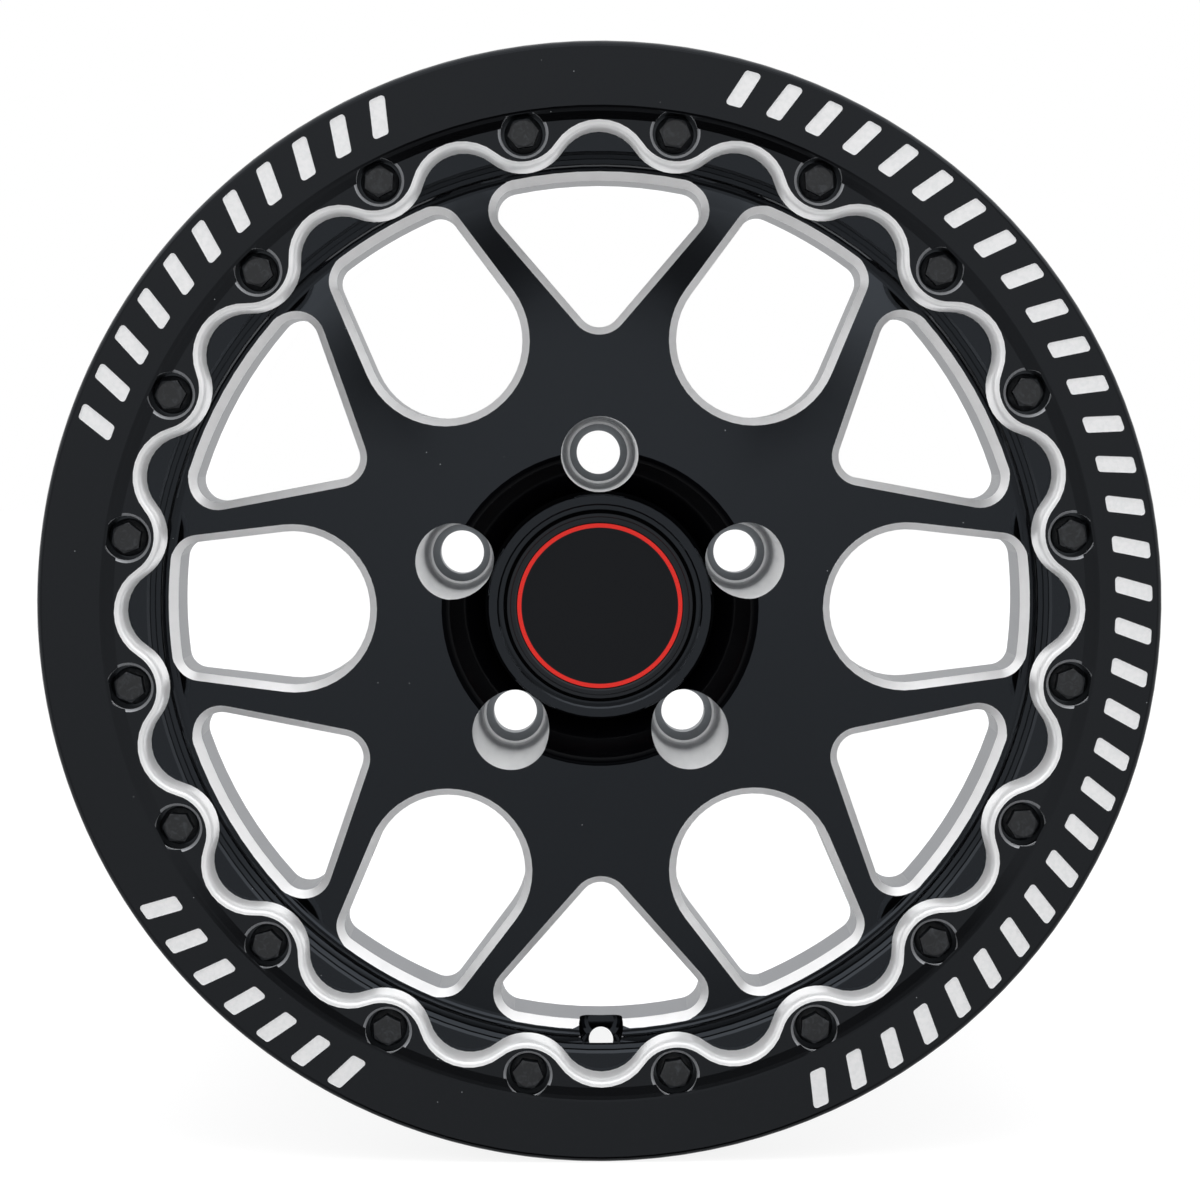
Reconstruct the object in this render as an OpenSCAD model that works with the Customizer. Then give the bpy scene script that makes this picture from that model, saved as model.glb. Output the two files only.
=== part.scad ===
// Beadlock wheel for a drag car: forged wheel, bolted bead ring and hub cap
// The wheel stands upright: its axis is Y, its front faces -Y and +Z is up
// Depths are measured back from the face that the ring's bolts sit in

/* [Rim] */
// Diameter over the bead ring and the rear flange
rim_d = 415; // [410:0.5:420]
// Width between the beads
rim_width = 254; // [230:1:280]
// Height of the flanges above the tyre's bead seats
flange_h = 17.5; // [16.5:0.1:18.5]
// Depth of the drop well below the bead seats
well_drop = 19; // [17:0.5:19.5]
// Depth of the barrel below the bead seats, between the well and the rear seat
shelf_drop = 4; // [3:0.5:7]
// Thickness of the barrel wall
barrel_wall = 5.5; // [4.5:0.1:6.5]
// Space for the front bead between the ring and its shoulder
bead_slot = 14.5; // [13:0.5:17]
// Thickness of the shoulder behind the front bead
shoulder_t = 6; // [5:0.5:7]
// Height of the shoulder above the bead seat
shoulder_h = 13; // [11:0.5:14]
// Thickness of the rear flange
rear_flange_t = 9; // [8:0.5:11]
// Height of the safety hump in front of the rear bead seat
hump_h = 1.2; // [0.8:0.1:1.6]

/* [Disc] */
// Depth of the disc's face where it meets the hub recess
face_depth = 11.7; // [11:0.1:13]
// Slope of the disc's face, in degrees
face_angle = 5.4; // [4.6:0.1:6]
// Depth of the spokes' back
spoke_back = 44; // [41:0.5:47]
// Depth of the mounting face
mount_depth = 82; // [79:0.5:88]
// Diameter of the mounting pad
pad_d = 148; // [146:0.5:152]
// Number of window pairs round the disc
window_pairs = 6; // [6:1:6]
// Width of the disc's rim between the windows and the ring's scallops
window_margin = 3.9; // [3.5:0.1:5]
// Width of the bevel round each window
window_bevel = 2.8; // [2:0.1:3.4]
// Start of the three-cornered window, as a share of the windows' outer radius
tri_start = 0.6289; // [0.62:0.001:0.64]
// Angle between a side of the three-cornered window and its centre line
tri_half_angle = 40.6; // [39.5:0.1:41.5]
// Radius of the three-cornered window's inner corner, as the same kind of share
tri_tip = 0.0683; // [0.062:0.001:0.08]
// Radius of the three-cornered window's outer corners, as the same kind of share
tri_corner = 0.0677; // [0.062:0.001:0.074]
// Start of the round-ended window, as a share of the windows' outer radius
dee_start = 0.5151; // [0.508:0.001:0.53]
// Radius of the round-ended window's inner end, as the same kind of share
dee_end = 0.1957; // [0.188:0.001:0.199]
// Angle between a side of the round-ended window and its centre line
dee_taper = 6.8; // [6:0.1:8]
// Radius of the round-ended window's outer corners, as the same kind of share
dee_corner = 0.0615; // [0.056:0.001:0.067]

/* [Hub] */
// Bolt circle of the lug holes
lug_circle_d = 115; // [114:0.1:116]
// Number of lug holes
lug_count = 5; // [5:1:5]
// Diameter of the lug holes
lug_hole_d = 17.4; // [16:0.1:18]
// Diameter of the lug pockets
lug_pocket_d = 28.8; // [28:0.1:29.4]
// Diameter of the lug nuts' conical seat
lug_seat_d = 22.8; // [21.5:0.1:24]
// Depth of the lug nuts' seat
lug_seat_depth = 70; // [67:0.5:73]
// Included angle of the lug nuts' seat, in degrees
lug_seat_angle = 60; // [60:1:90]
// Diameter of the hub bore
hub_bore_d = 71.5; // [70:0.1:72.4]
// Depth at which the hub bore starts, behind the smaller bore for the cap
hub_bore_depth = 46; // [44:0.5:48]
// Diameter over the top of the hub recess
recess_d = 117; // [115:0.5:119]
// Depth of the hub recess
recess_depth = 29.5; // [28:0.5:31]
// Width of the collar round the cap's step
collar_w = 4.3; // [3.6:0.1:4.8]
// Height of the collar above the floor of the hub recess
collar_h = 7.5; // [6.5:0.1:8.5]
// Width of the step that the cap's rim sits on
cap_step_w = 4.2; // [3.8:0.1:5]
// Depth of the step that the cap drops into, below the collar
cap_well_depth = 6; // [5:0.1:7]
// Depth of the lightening pockets between the lug holes
pad_pocket_depth = 12; // [8:0.5:14]
// Diameter of the lightening pockets between the lug holes
pad_pocket_d = 26; // [20:0.5:28]

/* [Valve] */
// Diameter of the valve hole
valve_hole_d = 9.3; // [8.5:0.1:10]
// Angle between the valve hole and the wheel's axis, in degrees
valve_angle = 15; // [13:0.5:17]
// Distance of the valve hole from the windows' outer circle, at the floor of its pocket
valve_reach = 6.6; // [6:0.1:7.1]
// Depth of the valve pocket's floor
valve_floor = 30.5; // [29:0.5:32]
// Diameter of the valve pocket
valve_pocket_d = 17; // [16:0.2:18]
// Distance of the valve pocket's centre inside the windows' outer circle
valve_pocket_in = 0.8; // [0.1:0.1:1.5]
// Rounding of the valve pocket's floor
valve_pocket_round = 3.5; // [2.5:0.1:4.5]

/* [Beadlock ring] */
// Thickness of the ring where its bolts pass
ring_t = 10; // [9.5:0.1:11]
// Height of the ring's outer band above its bolting face
ring_rise = 2.5; // [1.5:0.1:3]
// Width of the outer band with its rise
ring_rise_w = 28; // [22:0.5:30]
// Width of the outer band at its full height
ring_band_w = 23.2; // [21.5:0.1:24]
// Rounding of the ring's outer edge
ring_edge_r = 2.2; // [1:0.1:3]
// Depth of the lip that centres the ring on the wheel
ring_lip = 1.5; // [1:0.1:2]
// Number of bolts and scallops
ring_bolt_count = 20; // [20:1:20]
// Distance of the bolts from the ring's outer edge
ring_bolt_inset = 30.9; // [30.5:0.1:31.2]
// Distance of the bolts from the scalloped edge
scallop_margin = 10.2; // [9.6:0.1:10.6]
// Height of a scallop
scallop_h = 13; // [11.6:0.1:14]
// Radius of the curve round each bolt
scallop_boss_r = 15; // [14:0.1:16]
// Width of the machined round on the scalloped edge
scallop_round = 3.3; // [2.6:0.1:3.8]

/* [Milled bars] */
// Distance of the bars from the ring's outer edge
bar_margin = 3.9; // [3.5:0.1:6]
// Length of the bars along the radius
bar_length = 13.6; // [9:0.1:15]
// Width of a bar
bar_w = 6; // [4:0.1:7]
// Rounding of a bar's corners
bar_corner_r = 1.2; // [0.8:0.1:1.6]
// Depth of the bars
bar_depth = 0.4; // [0.2:0.1:0.8]
// Angle between neighbouring bars
bar_pitch = 4.52; // [4.2:0.02:4.6]
// Slant of the bars from the radius, in degrees
bar_slant = 18; // [0:1:24]

/* [Fasteners] */
// Thread diameter of the ring bolts
bolt_d = 6; // [5:0.1:6.4]
// Width of the ring bolts' hexagon
bolt_hex = 10; // [9:0.1:10.6]
// Diameter of the ring bolts' flange
bolt_flange_d = 14; // [12.6:0.1:15]
// Height of the ring bolts' head
bolt_head_h = 6.2; // [5:0.1:6.6]
// Length of the ring bolts below the head
bolt_length = 17; // [15:0.5:18]
// Diameter of the counterbore for each bolt
counterbore_d = 16.4; // [15.6:0.1:17]
// Chamfer round each counterbore
counterbore_chamfer = 1; // [0.5:0.1:1.1]
// Outer diameter of the thread inserts
insert_d = 8; // [7.6:0.1:8.6]
// Length of the thread inserts
insert_length = 11; // [9:0.5:12]

/* [Cap] */
// Diameter of the bore that the cap pushes into
cap_bore_d = 68.4; // [67:0.1:69.4]
// Gap round the cap's rim
cap_gap = 1.7; // [0.9:0.1:2.1]
// Thickness of the cap's rim
cap_rim_t = 4; // [3.4:0.1:4.6]
// Wall of the cap
cap_wall = 2.6; // [2.2:0.1:3]
// Length of the cap's plug
cap_plug_length = 14; // [12:0.5:18]
// Width of the cap's rim round its disc
cap_disc_margin = 5; // [4.5:0.1:6]
// Thickness of the disc let into the cap
cap_disc_t = 0.9; // [0.6:0.1:1.1]
// Thickness of the ring that holds the cap
o_ring_t = 2.4; // [2:0.1:2.8]

/* [Hidden] */

$fn = 180;
// Room between a turned piece and the bore that it drops into
fit_gap = 0.1;
// Room round the ring's centring lip and each bolt's shank
bolt_gap = 0.3;
// How far a cut reaches past the face that it opens
over = 2;
// Small chamfer on turned edges
edge = 0.6;
paint = "#1b1c1e";

// Roundings and run-outs of the wheel's section
recess_round = 2;
groove_w = 1;
step_fillet = 3.6;
land_break = 1;
shoulder_foot = 1.5;
shoulder_round = 2;
ramp_round = 2;
bore_break = 1;
back_fillet = 6;
pad_flare = 29;
pad_edge_h = 9;
seat_foot = 6;
flange_round = 3.4;
// Distance from the shoulder to the well, and from the rear flange to the well, the shelf and the hump
well_front = 12;
well_back = 145;
shelf_start = 100;
hump_at = 35;
hump_half = 3;

// Roundings of the ring and of its bolts
ring_back_round = 3.5;
bolt_tip = 1;
flange_edge = 0.9;
insert_sink = 0.5;

// Cap: width and height of its raised edge, its chamfer, and how deep its disc lies
cap_edge_w = 3;
cap_edge_h = 0.5;
cap_chamfer = 1.5;
cap_disc_sink = 0.9;

// First angle, clockwise from the top, and number of the bars in each group
bar_groups = [[15.4, 32], [209, 7], [290.9, 11]];

rim_r = rim_d / 2;
seat_r = rim_r - flange_h;
well_r = seat_r - well_drop;
shelf_r = seat_r - shelf_drop;
hub_r = hub_bore_d / 2;
cap_bore_r = cap_bore_d / 2;
pad_r = pad_d / 2;
recess_r = recess_d / 2;
cap_well_r = cap_bore_r + cap_step_w;
collar_r = cap_well_r + collar_w;
cap_r = cap_well_r - cap_gap;
cap_disc_r = cap_r - cap_disc_margin;
lug_r = lug_circle_d / 2;
bolt_r = rim_r - ring_bolt_inset;
scallop_low_r = bolt_r - scallop_margin;
scallop_high_r = scallop_low_r + scallop_h;
bar_outer_r = rim_r - bar_margin;
bar_inner_r = bar_outer_r - bar_length;
window_outer_r = scallop_low_r - window_margin;
valve_r = window_outer_r + valve_reach;
bolt_pitch = 360 / ring_bolt_count;

// Depths of the planes that pieces share
ring_front = -ring_rise;
land_depth = ring_t;
clamp_depth = land_depth + ring_lip;
shoulder_depth = land_depth + bead_slot;
rear_seat_depth = clamp_depth + rim_width;
rear_depth = rear_seat_depth + rear_flange_t;
cap_seat_depth = recess_depth - collar_h + cap_well_depth;
cap_front = cap_seat_depth - cap_rim_t;
overall_width = rear_depth - ring_front;
datum = overall_width / 2 - ring_rise;

// Step down from the ring's seat to the disc, as [radius, depth] of each tread's inner edge
step_radii = [scallop_low_r + 2.8, scallop_low_r + 1.9, scallop_low_r + 0.4, scallop_low_r - 1.2];
step_drop = (disc_depth(step_radii[3]) - land_depth) / 4;

// Groove that the cap's ring sits in
groove_depth = cap_seat_depth + 0.45 * cap_plug_length;

// Depth of the disc's face at a radius
function disc_depth(r) = face_depth + (r - recess_r) * tan(face_angle);

// Points of an arc about c, from angle a to angle b
function arc(c, r, a, b, steps) = [
    for (i = [0 : steps]) let (t = a + (b - a) * i / steps) c + r * [cos(t), sin(t)]
];

// Distance from the axis to the centre of a corner that touches a side and the outer circle
// The side's outward normal is at angle n from +X and the side lies at distance d from the axis
function corner_centre(n, d, r) =
    let (reach = window_outer_r - r, t = n + acos((d - r) / reach))
    reach * [cos(t), sin(t)];

// Outline of a window pointing along +Y, grown by g
// start, tip and corner are its place and its radii as shares, n is its side's normal angle
function window_outline(start, tip_share, n, corner_share, g, tip_steps, corner_steps) =
    let (
        tip = tip_share * window_outer_r,
        corner = corner_share * window_outer_r,
        tip_centre = [0, start * window_outer_r + tip],
        side = tip_centre * [cos(n), sin(n)] + tip,
        right = corner_centre(n, side, corner),
        end = atan2(right[1], right[0])
    )
    concat(
        arc(tip_centre, tip + g, -180 - n, n, tip_steps),
        arc(right, corner + g, n, end, corner_steps),
        arc([0, 0], window_outer_r + g, end + (90 - end) / 4, 90 + 3 * (90 - end) / 4, 6),
        arc([-right[0], right[1]], corner + g, 180 - end, 180 - n, corner_steps)
    );

function tri_outline(g) =
    window_outline(tri_start, tri_tip, -tri_half_angle, tri_corner, g, 12, 12);
function dee_outline(g) =
    window_outline(dee_start, dee_end, dee_taper, dee_corner, g, 26, 9);

// One scallop and boss of the ring's inner edge, moved towards the axis by w
scallop_boss_centre = scallop_low_r + scallop_boss_r;
scallop_hollow_r =
    (pow(scallop_boss_centre, 2) + pow(scallop_high_r, 2) - pow(scallop_boss_r, 2)
        - 2 * scallop_boss_centre * scallop_high_r * cos(bolt_pitch / 2))
    / (2 * (scallop_boss_r + scallop_high_r - scallop_boss_centre * cos(bolt_pitch / 2)));
function polar(r, a) = r * [cos(a), sin(a)];
function scallop(w, steps) =
    let (
        hollow = polar(scallop_high_r - scallop_hollow_r, 0),
        boss = polar(scallop_boss_centre, bolt_pitch / 2),
        next = polar(scallop_high_r - scallop_hollow_r, bolt_pitch),
        turn = atan2(boss[1] - hollow[1], boss[0] - hollow[0]),
        back = bolt_pitch - turn,
        half_step = (turn - back) / (2 * steps)
    )
    concat(
        arc(hollow, scallop_hollow_r - w, 0, turn, steps),
        arc(boss, -(scallop_boss_r + w), turn - half_step, back + half_step, 2 * steps - 1),
        arc(next, scallop_hollow_r - w, back, bolt_pitch - (bolt_pitch - back) / steps, steps - 1)
    );
function turned_by(points, a) = [
    for (p = points) [p[0] * cos(a) - p[1] * sin(a), p[0] * sin(a) + p[1] * cos(a)]
];
function scallop_edge(w) = [
    for (i = [0 : ring_bolt_count - 1]) each turned_by(scallop(w, 5), 90 + i * bolt_pitch)
];

// A piece in the wheel's frame: drawn with its front along +Z, then stood upright
module stand() {
    rotate([90, 0, 0]) translate([0, 0, datum]) children();
}

// A turned solid from [radius, depth] points
module turned(points) {
    rotate_extrude() polygon([for (p = points) [p[0], -p[1]]]);
}

// A straight round cut or pin between two depths
module bar(r, from, to) {
    translate([0, 0, -to]) cylinder(r = r, h = to - from);
}

// A cone between two depths
module taper(r_from, r_to, from, to) {
    translate([0, 0, -to]) cylinder(r1 = r_to, r2 = r_from, h = to - from);
}

// Copies of a piece on a circle, starting at an angle from the top
module around(count, r, start = 0) {
    for (i = [0 : count - 1]) rotate(90 + start + i * 360 / count) translate([r, 0, 0]) children();
}

// A closed skin over rings of points, from the deepest ring to the front one
module skinned(rings) {
    n = len(rings[0]);
    last = len(rings) - 1;
    share = [for (p = rings[0]) 1 / n];
    middle = [for (ring = [rings[0], rings[last]]) [for (k = [0 : 2]) [for (p = ring) p[k]] * share]];
    polyhedron(
        points = concat([for (ring = rings) each ring], middle),
        faces = concat(
            [for (j = [0 : last - 1], i = [0 : n - 1]) let (a = j * n, b = a + n, k = (i + 1) % n)
                each [[a + i, b + i, b + k], [a + i, b + k, a + k]]],
            [for (i = [0 : n - 1]) [(last + 1) * n, i, (i + 1) % n]],
            [for (i = [0 : n - 1]) [(last + 1) * n + 1, last * n + (i + 1) % n, last * n + i]]
        )
    );
}

// Points of an outline at the face's depth plus d
function on_face(points, d) = [for (p = points) [p[0], p[1], -disc_depth(norm(p)) - d]];

// Cuts one window: a straight wall and a bevel that follows the sloping face
module window_cut(wall, rim) {
    translate([0, 0, -mount_depth]) linear_extrude(mount_depth - land_depth) polygon(wall);
    skinned([on_face(wall, window_bevel), on_face(rim, -over)]);
}

module window_cuts() {
    for (i = [0 : window_pairs - 1]) {
        rotate(i * 360 / window_pairs) window_cut(tri_outline(-window_bevel), tri_outline(over));
        rotate((i + 0.5) * 360 / window_pairs) window_cut(dee_outline(-window_bevel), dee_outline(over));
    }
}

// Section of the wheel from the hub bore, over the front, round the rim and back inside the barrel
module wheel_blank() {
    collar_depth = recess_depth - collar_h;
    fillet_r = step_radii[3] - step_fillet;
    fillet_depth = disc_depth(fillet_r) - step_fillet / cos(face_angle);
    shoulder_r = seat_r + shoulder_h;
    shoulder_back = shoulder_depth + shoulder_t;
    crown = 0.3 * shoulder_round;
    hub_front = concat(
        [
            [hub_r, mount_depth - bore_break],
            [hub_r, hub_bore_depth],
            [cap_bore_r, hub_bore_depth],
            [cap_bore_r, cap_seat_depth],
            [cap_well_r, cap_seat_depth],
            [cap_well_r, collar_depth + edge],
            [cap_well_r + edge, collar_depth],
            [collar_r - edge, collar_depth],
            [collar_r, collar_depth + edge],
            [collar_r, recess_depth],
            [collar_r + groove_w, recess_depth]
        ],
        [for (i = [0 : 5]) let (t = i / 5) [
            recess_r + recess_round * (1.7 * t * (1 - 0.15 * t) - 1),
            disc_depth(recess_r) + recess_round * (0.8 * pow(1 - t, 2.2) + 0.45 * t * tan(face_angle))
        ]]
    );
    steps = concat(
        arc([fillet_r, fillet_depth], step_fillet, 90 + face_angle, 0, 6),
        [
            [step_radii[3], land_depth + 2.2 * step_drop],
            [step_radii[2], land_depth + 2.05 * step_drop],
            [step_radii[2], land_depth + 1.2 * step_drop],
            [step_radii[1], land_depth + 1.05 * step_drop],
            [step_radii[1], land_depth + 0.35 * step_drop],
            [step_radii[0], land_depth]
        ]
    );
    front_seat = [
        [seat_r - land_break, land_depth],
        [seat_r, land_depth + land_break],
        [seat_r, shoulder_depth - shoulder_foot],
        [seat_r + shoulder_foot, shoulder_depth],
        [shoulder_r - shoulder_round, shoulder_depth],
        [shoulder_r - crown, shoulder_depth + crown],
        [shoulder_r, shoulder_depth + shoulder_round],
        [shoulder_r, shoulder_back - shoulder_round],
        [shoulder_r - crown, shoulder_back - crown],
        [shoulder_r - shoulder_round, shoulder_back],
        [seat_r + shoulder_foot, shoulder_back],
        [seat_r - shoulder_round, shoulder_back + 0.7 * shoulder_round]
    ];
    barrel_outside = [
        [well_r + ramp_round, shoulder_back + well_front],
        [well_r, shoulder_back + well_front + 2.5 * ramp_round],
        [well_r, rear_seat_depth - well_back],
        [well_r + ramp_round, rear_seat_depth - well_back + 3.5 * ramp_round],
        [shelf_r - ramp_round, rear_seat_depth - shelf_start - 4 * ramp_round],
        [shelf_r, rear_seat_depth - shelf_start],
        [shelf_r, rear_seat_depth - hump_at - 3 * hump_half],
        [shelf_r + 1.5 * hump_h, rear_seat_depth - hump_at - hump_half],
        [shelf_r + 1.75 * hump_h, rear_seat_depth - hump_at],
        [shelf_r + 1.5 * hump_h, rear_seat_depth - hump_at + hump_half],
        [shelf_r + 0.8 * hump_h, rear_seat_depth - hump_at + 2.3 * hump_half],
        [shelf_r + 1.2 * hump_h, rear_seat_depth - hump_at + 3.3 * hump_half],
        [seat_r - 0.08 * seat_foot, rear_seat_depth - seat_foot],
        [seat_r + 0.1 * seat_foot, rear_seat_depth - 0.4 * seat_foot],
        [seat_r + 0.5 * seat_foot, rear_seat_depth - 0.07 * seat_foot],
        [seat_r + seat_foot, rear_seat_depth],
        [rim_r - 2.1 * flange_round, rear_seat_depth],
        [rim_r - 0.9 * flange_round, rear_seat_depth + 0.35 * flange_round],
        [rim_r - 0.18 * flange_round, rear_seat_depth + 1.1 * flange_round],
        [rim_r, rear_depth - flange_round],
        [rim_r - 0.24 * flange_round, rear_depth - 0.3 * flange_round],
        [rim_r - 0.76 * flange_round, rear_depth]
    ];
    barrel_inside = [
        [rim_r - 2.4 * flange_round, rear_depth - 0.2 * flange_round],
        [seat_r + 0.6 * flange_round, rear_depth - 0.9 * flange_round],
        [seat_r - barrel_wall, rear_seat_depth - 0.7 * seat_foot],
        [shelf_r - barrel_wall, rear_seat_depth - hump_at],
        [shelf_r - barrel_wall, rear_seat_depth - shelf_start + 1.5 * ramp_round],
        [shelf_r - barrel_wall - ramp_round, rear_seat_depth - shelf_start - 3 * ramp_round],
        [well_r - barrel_wall + ramp_round, rear_seat_depth - well_back + 5 * ramp_round],
        [well_r - barrel_wall, rear_seat_depth - well_back + 1.5 * ramp_round]
    ];
    back = concat(
        arc([well_r - barrel_wall - back_fillet, spoke_back + back_fillet], back_fillet, 0, -90, 5),
        [
            [pad_r + pad_flare, spoke_back],
            [pad_r + 0.86 * pad_flare, spoke_back + 0.1 * pad_edge_h],
            [pad_r + 0.1 * pad_flare, mount_depth - 1.55 * pad_edge_h],
            [pad_r, mount_depth - pad_edge_h],
            [pad_r, mount_depth - bore_break],
            [pad_r - bore_break, mount_depth],
            [hub_r + bore_break, mount_depth]
        ]
    );
    turned(concat(hub_front, steps, front_seat, barrel_outside, barrel_inside, back));
}

module lug_cut() {
    pocket_r = lug_pocket_d / 2;
    seat_top_r = lug_seat_d / 2;
    hole_r = lug_hole_d / 2;
    cove = pocket_r - seat_top_r;
    seat_h = (seat_top_r - hole_r) / tan(lug_seat_angle / 2);
    turned(concat(
        [[0, face_depth - over], [pocket_r, face_depth - over]],
        [for (i = [0 : 5]) let (t = i * 18) [
            pocket_r - cove * (1 - cos(t)),
            lug_seat_depth - cove * (1 - sin(t))
        ]],
        [[hole_r, lug_seat_depth + seat_h], [hole_r, mount_depth + over], [0, mount_depth + over]]
    ));
}

// The valve hole's line, from its pocket's floor at the bottom of the wheel
module along_valve() {
    translate([0, -valve_r, -valve_floor]) rotate([-valve_angle, 0, 0]) children();
}

// Round pocket and slanted hole for the valve; the pocket stays behind the lip of the step
module valve_cut() {
    pocket_r = valve_pocket_d / 2;
    floor_r = pocket_r - valve_pocket_round;
    lip_r = step_radii[2] - fit_gap;
    lip_depth = land_depth + 2.2 * step_drop;
    intersection() {
        translate([0, valve_pocket_in - window_outer_r, 0]) turned(concat(
            [[0, valve_floor], [0, 0], [pocket_r, 0]],
            [for (i = [0 : 4]) let (a = 22.5 * i) [
                floor_r + valve_pocket_round * cos(a),
                valve_floor + valve_pocket_round * (sin(a) - 1)
            ]]
        ));
        bar(lip_r, 0, valve_floor + over);
    }
    along_valve()
        bar(valve_hole_d / 2, (lip_depth - valve_floor) / cos(valve_angle), mount_depth - valve_floor);
}

module wheel_body() {
    color(paint) stand() difference() {
        wheel_blank();
        window_cuts();
        around(lug_count, lug_r) lug_cut();
        around(lug_count, lug_r, 180 / lug_count)
            bar(pad_pocket_d / 2, mount_depth - pad_pocket_depth, mount_depth + over);
        around(ring_bolt_count, bolt_r, bolt_pitch / 2)
            bar(insert_d / 2 + fit_gap, land_depth - over, land_depth + bolt_length);
        valve_cut();
    }
}

// Section of the bead ring: bolting face, raised band, rounded edge and centring lip
module ring_blank() {
    lip_r = seat_r + bolt_gap;
    inner = scallop_low_r - scallop_round - over;
    rise_r = rim_r - ring_rise_w;
    band_r = rim_r - ring_band_w;
    turned(concat(
        [
            [inner, 0],
            [rise_r, 0],
            [0.4 * rise_r + 0.6 * band_r, -0.55 * ring_rise],
            [0.15 * rise_r + 0.85 * band_r, -0.88 * ring_rise],
            [band_r, ring_front]
        ],
        arc([rim_r - ring_edge_r, ring_front + ring_edge_r], ring_edge_r, -90, 0, 5),
        [
            [rim_r, clamp_depth - 0.75 * ring_back_round],
            [rim_r - 0.35 * ring_back_round, clamp_depth - 0.23 * ring_back_round],
            [rim_r - ring_back_round, clamp_depth],
            [lip_r, clamp_depth],
            [lip_r, land_depth],
            [inner, land_depth]
        ]
    ));
}

// Cuts the scalloped inner edge with its machined round
module scallop_cut() {
    // Width and depth of each row, as shares of the round's width and the ring's thickness
    rows = [[1, 1.2], [1, 1], [0.85, 0.4], [0.62, 0.16], [0.35, 0.04], [0, 0], [-0.09, -0.01]];
    skinned([for (row = rows) [
        for (p = scallop_edge(row[0] * scallop_round)) [p[0], p[1], -row[1] * ring_t]
    ]]);
}

// Outline of a slanted bar with rounded corners, its radius along +X
function bar_outline() =
    let (
        far = bar_outer_r - bar_corner_r,
        near = bar_inner_r + bar_corner_r,
        lean = (far - near) / 2 * tan(bar_slant),
        half = bar_w / 2 - bar_corner_r,
        corners = [[far, half - lean], [near, half + lean], [near, lean - half], [far, -half - lean]],
        turns = [0, 90 - bar_slant, 180, 270 - bar_slant, 360]
    )
    [for (i = [0 : 3]) each arc(corners[i], bar_corner_r, turns[i], turns[i + 1], 3)];

// Shallow bars milled in the ring's outer band
module bar_cuts() {
    for (group = bar_groups, i = [0 : group[1] - 1])
        rotate(90 - group[0] - i * bar_pitch) translate([0, 0, ring_rise - bar_depth])
            linear_extrude(bar_depth + over) polygon(bar_outline());
}

module beadlock_ring() {
    bore_r = counterbore_d / 2;
    color(paint) stand() difference() {
        ring_blank();
        scallop_cut();
        bar_cuts();
        around(ring_bolt_count, bolt_r, bolt_pitch / 2) {
            bar(bolt_d / 2 + bolt_gap, bolt_head_h, ring_t + over);
            bar(bore_r, -over, bolt_head_h);
            taper(bore_r + counterbore_chamfer, bore_r, 0, counterbore_chamfer);
        }
    }
}

// Flanged hexagon bolt, its flange seated at the counterbore's floor
module ring_bolt() {
    flange_r = bolt_flange_d / 2;
    shank_r = bolt_d / 2 - fit_gap;
    hex_r = bolt_hex / sqrt(3);
    end = bolt_head_h + bolt_length;
    turned([
        [0, bolt_head_h - 3.3 * flange_edge],
        [flange_r - 2.2 * flange_edge, bolt_head_h - 2.4 * flange_edge],
        [flange_r - 0.3 * flange_edge, bolt_head_h - 1.4 * flange_edge],
        [flange_r, bolt_head_h - flange_edge],
        [flange_r, bolt_head_h],
        [shank_r, bolt_head_h],
        [shank_r, end - bolt_tip],
        [shank_r - bolt_tip, end],
        [0, end]
    ]);
    intersection() {
        bar(hex_r, 0, bolt_head_h - flange_edge, $fn = 6);
        turned([
            [0, 0],
            [hex_r - 0.22 * hex_r, 0],
            [hex_r - 0.09 * hex_r, 0.05 * hex_r],
            [hex_r + 0.07 * hex_r, 0.16 * hex_r],
            [hex_r + 0.07 * hex_r, bolt_head_h],
            [0, bolt_head_h]
        ]);
    }
}

module ring_bolts() {
    color("#2a2c2e") stand() around(ring_bolt_count, bolt_r, bolt_pitch / 2) rotate(30) ring_bolt();
}

module thread_inserts() {
    color("#8f9296") stand() around(ring_bolt_count, bolt_r, bolt_pitch / 2) difference() {
        bar(insert_d / 2, land_depth + insert_sink, land_depth + insert_sink + insert_length);
        bar(bolt_d / 2, land_depth, land_depth + insert_length + over);
    }
}

// Push-in cap: stepped rim, hollow plug and a groove for the ring that holds it
module centre_cap() {
    plug_r = cap_bore_r - bolt_gap;
    groove_r = cap_bore_r - o_ring_t - 2 * fit_gap;
    groove_half = o_ring_t / 2 + fit_gap;
    hollow_r = groove_r - cap_wall;
    disc_r = cap_disc_r + fit_gap;
    disc_top = cap_front + cap_disc_sink;
    disc_floor = disc_top + cap_disc_t;
    plug_end = cap_seat_depth + cap_plug_length;
    color(paint) stand() turned([
        [0, disc_floor],
        [disc_r, disc_floor],
        [disc_r, disc_top],
        [disc_r + edge, cap_front + cap_edge_h],
        [cap_r - cap_edge_w, cap_front + cap_edge_h],
        [cap_r - cap_edge_w + 0.8 * cap_edge_h, cap_front],
        [cap_r - cap_chamfer, cap_front],
        [cap_r, cap_front + cap_chamfer],
        [cap_r, cap_seat_depth],
        [plug_r, cap_seat_depth],
        [plug_r, groove_depth - groove_half],
        [groove_r, groove_depth - groove_half],
        [groove_r, groove_depth + groove_half],
        [plug_r, groove_depth + groove_half],
        [plug_r, plug_end - bore_break],
        [plug_r - bore_break, plug_end],
        [hollow_r, plug_end],
        [hollow_r, disc_floor + cap_wall + cap_chamfer],
        [hollow_r - cap_chamfer, disc_floor + cap_wall],
        [0, disc_floor + cap_wall]
    ]);
}

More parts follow.
